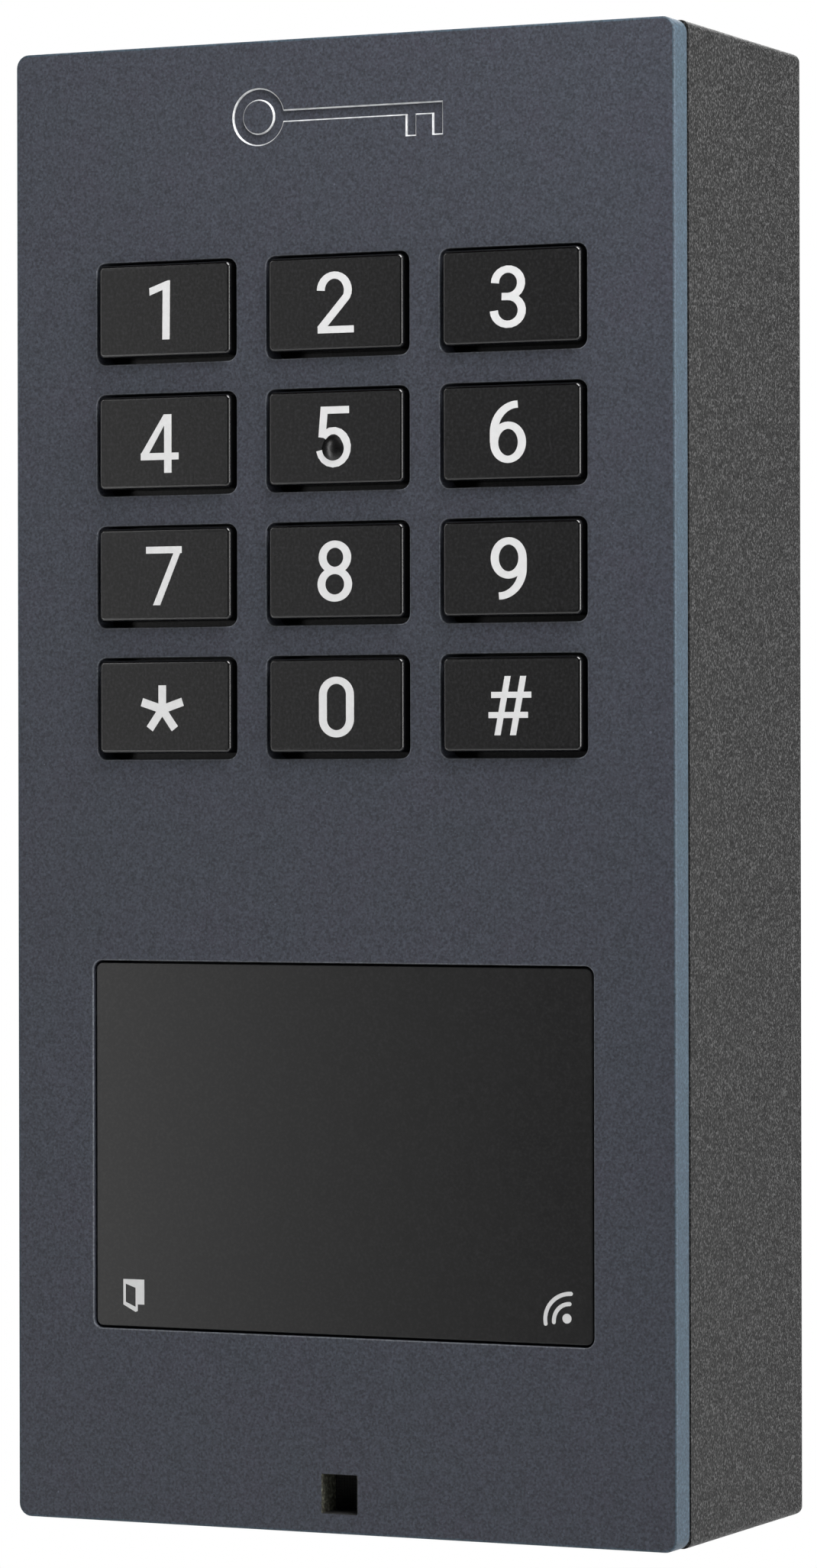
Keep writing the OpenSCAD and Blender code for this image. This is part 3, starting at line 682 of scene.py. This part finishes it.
def front_plate():
    """Thick coated plate with rounded edges, openings and the engraved sign."""
    shell = Shell()
    outline = round_rect(0, 0, PLATE_W, PLATE_H, PLATE_CORNER_R, 8)
    edge = rounded_edge(PLATE_EDGE_R, PLATE_FRONT, PLATE_BACK)
    rear = rounded_edge(PLATE_REAR_EDGE_R, PLATE_BACK, PLATE_FRONT)[::-1]
    # The plate's sides and their roundings take the bluer coat, painted sheen of the side light.
    front_ring, back_ring = shell.sweep(outline, edge + rear, SIDE_SHEEN)
    front_holes, back_holes = [], []
    rounding = rounded_edge(OPENING_EDGE_R, PLATE_FRONT, PLATE_BACK, 3)
    hole_profile = [(-out, y) for out, y in rounding]
    hole_profile.append((0, PLATE_BACK))
    for opening in plate_openings():
        # The rounded rims of the openings take the lighter coat, a painted highlight line.
        mouth, rear_ring = shell.sweep(opening, hole_profile, COATED, RIM_HIGHLIGHT)
        front_holes.append(mouth)
        back_holes.append(rear_ring)
    sound = round_rect(0, PLATE_LOW.z + SOUND_RISE, SOUND_W, SOUND_W, SOUND_CORNER_R, 2)
    sound_profile = [(SOUND_CHAMFER, PLATE_FRONT), (0, PLATE_FRONT + SOUND_CHAMFER), (0, PLATE_BACK)]
    mouth, rear_ring = shell.sweep(sound, sound_profile, BARE)
    # The level walls of the sound opening get painted shade.
    shade_level_walls(shell)
    front_holes.append(mouth)
    back_holes.append(rear_ring)
    front_holes.append(engrave(shell))
    back_holes += screw_pits(shell)
    shell.cap(front_ring, front_holes)
    shell.cap(back_ring, back_holes)
    # The near-black mesh paint in the last slot is painted shade on the sound opening's level walls.
    paints = [BY_SLOT["powder_coat"], SIDE_SHEEN_PAINT, BARE_CUT, BRIGHT_CUT, RIM_HIGHLIGHT_PAINT, BY_SLOT["mesh"]]
    return shell.finish("front_plate_coated", paints, "reader", "powder_coat", ["front_plate"])


def pip(shell, cx, cz, face):
    """Raised dot for the finger; returns its ring on the key's face."""
    ball = (PIP_R ** 2 + PIP_H ** 2) / (2 * PIP_H)
    half = math.asin(PIP_R / ball)
    steps = 6
    rings = []
    for i in range(steps):
        angle = half * (1 - i / steps)
        y = face - PIP_H + ball * (1 - math.cos(angle))
        rings.append(shell.ring(circle(cx, cz, ball * math.sin(angle), 40), y))
    for first, second in zip(rings, rings[1:]):
        shell.wall(first, second, PIP)
    shell.cap(rings[-1], material=PIP)
    return rings[0]


def flanged_panel(shell, x, z, w, h, corner_r, edge, flange_w, flange_h, levels,
                  paint=0, shift=Vector((0, 0)), pip_at=None):
    """A flat panel with rounded edges on a wider flange; edge is the rounding's width and depth,
    paint its material, and levels are the y of the face, the flange's front and its back."""
    face, flange_front, flange_back = levels
    outline = round_rect(x + shift.x, z + shift.y, w, h, corner_r)
    profile = rounded_edge(edge[0], face, flange_front, 6, edge[1]) + [(0, flange_front)]
    rim, foot = shell.sweep(outline, profile, paint)
    shell.cap(rim, [pip(shell, *pip_at, face)] if pip_at else [])
    flange = round_rect(x, z, flange_w, flange_h, FLANGE_CORNER_R, 2)
    front_ring, back_ring = shell.sweep(flange, [(0, flange_front), (0, flange_back)])
    shell.cap(front_ring, [foot])
    shell.cap(back_ring)


def push_key(key):
    """A push key with its flange under the plate."""
    low, high = box_mm("key_" + key)
    face = box_mm("key_1")[0].y
    x, z = key_centre(key)
    size = key_size()
    levels = (face, high.y - KEY_FLANGE_T, high.y)
    shell = Shell()
    pip_at = (x + PIP_SHIFT.x, z + PIP_SHIFT.y) if key == "5" else None
    flanged_panel(shell, x, z, size.x + KEY_GROWTH, size.y + KEY_GROWTH, KEY_CORNER_R,
                  (KEY_EDGE_R, KEY_EDGE_DEPTH), high.x - low.x, high.z - low.z, levels,
                  ROUNDING, KEY_SHIFT, pip_at)
    paints = [BY_SLOT["key_plastic"], KEY_EDGE, PIP_PLASTIC]
    shell.finish("push_key_" + key, paints, "button_" + key, "key_plastic", ["key_" + key],
                 PIP_FOOT_ANGLE)


def key_sign(key, polygons):
    """The sign printed on a key."""
    face = box_mm("key_1")[0].y
    x, z = key_centre(key)
    placed = [[(x + px, z + pz) for px, pz in polygon] for polygon in polygons]
    shell = flat_solid(placed, face - INK_T, face + INK_ROOT)
    shell.finish("sign_" + key, [KEY_INK], "button_" + key)


def reader_window():
    """Flat dark panel that cards are held against."""
    low, high = box_mm("reader_window")
    w = high.x - low.x - 2 * WINDOW_FLANGE - 2 * WINDOW_GAP
    h = high.z - low.z - 2 * WINDOW_FLANGE - 2 * WINDOW_GAP
    levels = (low.y, high.y - WINDOW_FLANGE_T, high.y)
    shell = Shell()
    flanged_panel(shell, 0, (low.z + high.z) / 2, w, h, WINDOW_CORNER_R,
                  (WINDOW_EDGE_R, WINDOW_EDGE_R), high.x - low.x, high.z - low.z, levels)
    shell.finish("reader_window_panel", [BY_SLOT["window_plastic"]], "reader",
                 "window_plastic", ["reader_window"])


def window_signs():
    """Two small signs printed at the window's lower corners."""
    low, high = box_mm("reader_window")
    sign_z = (low.z + high.z) / 2 - ICON_DROP
    for name, x, polygons in (("sign_door", DOOR_X, door_sign()), ("sign_radio", RADIO_X, radio_sign())):
        placed = [[(x + px, sign_z + pz) for px, pz in polygon] for polygon in polygons]
        shell = flat_solid(placed, low.y - INK_T, low.y + INK_ROOT)
        shell.finish(name, [ICON_INK], "reader")


def dome(key):
    """Rubber dome under a key."""
    low, high = box_mm("key_dome_" + key)
    x, z = key_centre(key)
    base_r, foot, top = (high.x - low.x) / 2, high.y, low.y
    height = foot - top
    plunger_r = base_r / 2
    profile = [(plunger_r - 0.2, foot - 0.05), (plunger_r, foot - height * 0.5), (base_r - 0.7, foot),
               (base_r, foot), (base_r, foot - 0.35), (plunger_r + 0.5, foot - height * 0.7),
               (plunger_r + 0.3, foot - height * 0.92), (plunger_r + 0.1, top)]
    shell = Shell()
    rings = [shell.ring(circle(x, z, r, 28), y) for r, y in profile]
    for first, second in zip(rings, rings[1:]):
        shell.wall(first, second)
    shell.cap(rings[0])
    shell.cap(rings[-1])
    piece = shell.finish("rubber_dome_" + key, [BY_SLOT["silicone"]], "reader",
                         "silicone", ["key_dome_" + key])
    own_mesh(piece)


def dress_cad_nodes():
    """Gives every CAD node that stays the material of its slot."""
    for name, node in frame["nodes"].items():
        node.data.materials.clear()
        node.data.materials.append(BY_SLOT[SLOT_OF[name]])


# Studio

CAMERA_AZIMUTH = 24.93                   # degrees to the right of straight ahead
CAMERA_DISTANCE = 0.5999
CAMERA_AIM = Vector((0.00657, -0.03235, 0.0001))
CAMERA_ROLL = -0.111
CAMERA_LENS = 134.02
STUDIO_CENTRE = Vector((0, -0.02, 0))    # what the lamps point at
WORLD_LIGHT = 0.03
FLOOR_Z = -0.26
FLOOR_R = 1.15
FLOOR_GLOW = 0.6                         # evens out the floor's lighting where it is seen


def look(location, target, roll=0.0):
    """Matrix of a camera or lamp at a place, turned to a target."""
    turn = (target - location).to_track_quat("-Z", "Y").to_matrix().to_4x4()
    return Matrix.Translation(location) @ turn @ Matrix.Rotation(math.radians(roll), 4, "Z")


def around(azimuth, elevation, distance, target=STUDIO_CENTRE):
    """Point at a distance from the target; azimuth 0 is straight in front, 90 to the right."""
    a, e = math.radians(azimuth), math.radians(elevation)
    level = math.cos(e)
    return target + distance * Vector((math.sin(a) * level, -math.cos(a) * level, math.sin(e)))


def add_camera():
    data = bpy.data.cameras.new("camera")
    data.lens = CAMERA_LENS
    data.sensor_width = 36
    data.clip_start, data.clip_end = 0.01, 50
    camera = bpy.data.objects.new("camera", data)
    bpy.context.scene.collection.objects.link(camera)
    place = around(CAMERA_AZIMUTH, 0, CAMERA_DISTANCE, CAMERA_AIM)
    camera.matrix_world = look(place, CAMERA_AIM, CAMERA_ROLL)
    bpy.context.scene.camera = camera


def add_softbox(name, azimuth, elevation, distance, width, height, power, colour=(1, 1, 1)):
    data = bpy.data.lights.new(name, "AREA")
    data.shape = "RECTANGLE"
    data.size, data.size_y = width, height
    data.energy = power
    data.color = colour
    lamp = bpy.data.objects.new(name, data)
    bpy.context.scene.collection.objects.link(lamp)
    lamp.matrix_world = look(around(azimuth, elevation, distance), STUDIO_CENTRE)


def add_world():
    """White behind the object, dimmer as a light."""
    world = bpy.data.worlds.new("studio")
    bpy.context.scene.world = world
    world.use_nodes = True
    nodes, links = world.node_tree.nodes, world.node_tree.links
    seen = nodes["Background"]
    seen.inputs["Color"].default_value = (1, 1, 1, 1)
    light = nodes.new("ShaderNodeBackground")
    light.inputs["Color"].default_value = (1, 1, 1, 1)
    light.inputs["Strength"].default_value = WORLD_LIGHT
    path = nodes.new("ShaderNodeLightPath")
    mix = nodes.new("ShaderNodeMixShader")
    links.new(path.outputs["Is Camera Ray"], mix.inputs["Fac"])
    links.new(light.outputs["Background"], mix.inputs[1])
    links.new(seen.outputs["Background"], mix.inputs[2])
    links.new(mix.outputs["Shader"], nodes["World Output"].inputs["Surface"])


def add_floor():
    """Pale round floor well below the object, fading out to white at its rim."""
    shell = Shell()
    rings = [shell.ring(circle(0, 0, r / MM, 96), 0) for r in (FLOOR_R * 0.02, FLOOR_R * 0.5, FLOOR_R)]
    for first, second in zip(rings, rings[1:]):
        shell.wall(first, second)
    shell.cap(rings[0])
    mesh = bpy.data.meshes.new("floor")
    shell.bm.to_mesh(mesh)
    shell.bm.free()
    floor = bpy.data.objects.new("floor", mesh)
    bpy.context.scene.collection.objects.link(floor)
    floor.matrix_world = Matrix.Translation((0, 0, FLOOR_Z)) @ Matrix.Rotation(math.radians(90), 4, "X")
    paint = Paint("floor", (0.82, 0.82, 0.82), 0.7)
    white = paint.nodes.new("ShaderNodeEmission")
    length = paint.nodes.new("ShaderNodeVectorMath")
    length.operation = "LENGTH"
    paint.links.new(paint.place, length.inputs[0])
    fade = paint.ramp(length.outputs["Value"], FLOOR_R * 0.45, FLOOR_R * 0.97)
    fade.node.inputs["To Min"].default_value = FLOOR_GLOW
    seen = paint.nodes.new("ShaderNodeMath")
    seen.operation = "MULTIPLY"
    paint.links.new(fade, seen.inputs[0])
    paint.links.new(paint.nodes.new("ShaderNodeLightPath").outputs["Is Camera Ray"], seen.inputs[1])
    mix = paint.nodes.new("ShaderNodeMixShader")
    paint.links.new(seen.outputs["Value"], mix.inputs["Fac"])
    paint.links.new(paint.shader.outputs["BSDF"], mix.inputs[1])
    paint.links.new(white.outputs["Emission"], mix.inputs[2])
    paint.links.new(mix.outputs["Shader"], paint.nodes["Material Output"].inputs["Surface"])
    mesh.materials.append(paint.material)


def add_studio():
    """Soft lamps, each given by azimuth, elevation, distance, width, height and power."""
    bpy.context.scene.view_settings.view_transform = "Standard"
    add_camera()
    add_world()
    add_floor()
    add_softbox("right_box", 98, -10, 0.9, 0.7, 0.95, 18.0)
    add_softbox("left_box", -38, 2, 0.506, 0.08, 0.6, 0.76)
    add_softbox("top_box", 60, 60, 0.32, 0.25, 0.25, 1.95)
    add_softbox("fill_box", 52, 0, 0.9, 0.4, 0.4, 0.6)
    add_softbox("back_box", 205, 25, 0.6, 0.5, 0.5, 5.0)


def build():
    dress_cad_nodes()
    front_plate()
    reader_window()
    window_signs()
    signs = key_signs()
    for key in KEYS:
        push_key(key)
        key_sign(key, signs[key])
        dome(key)
    add_studio()


build()
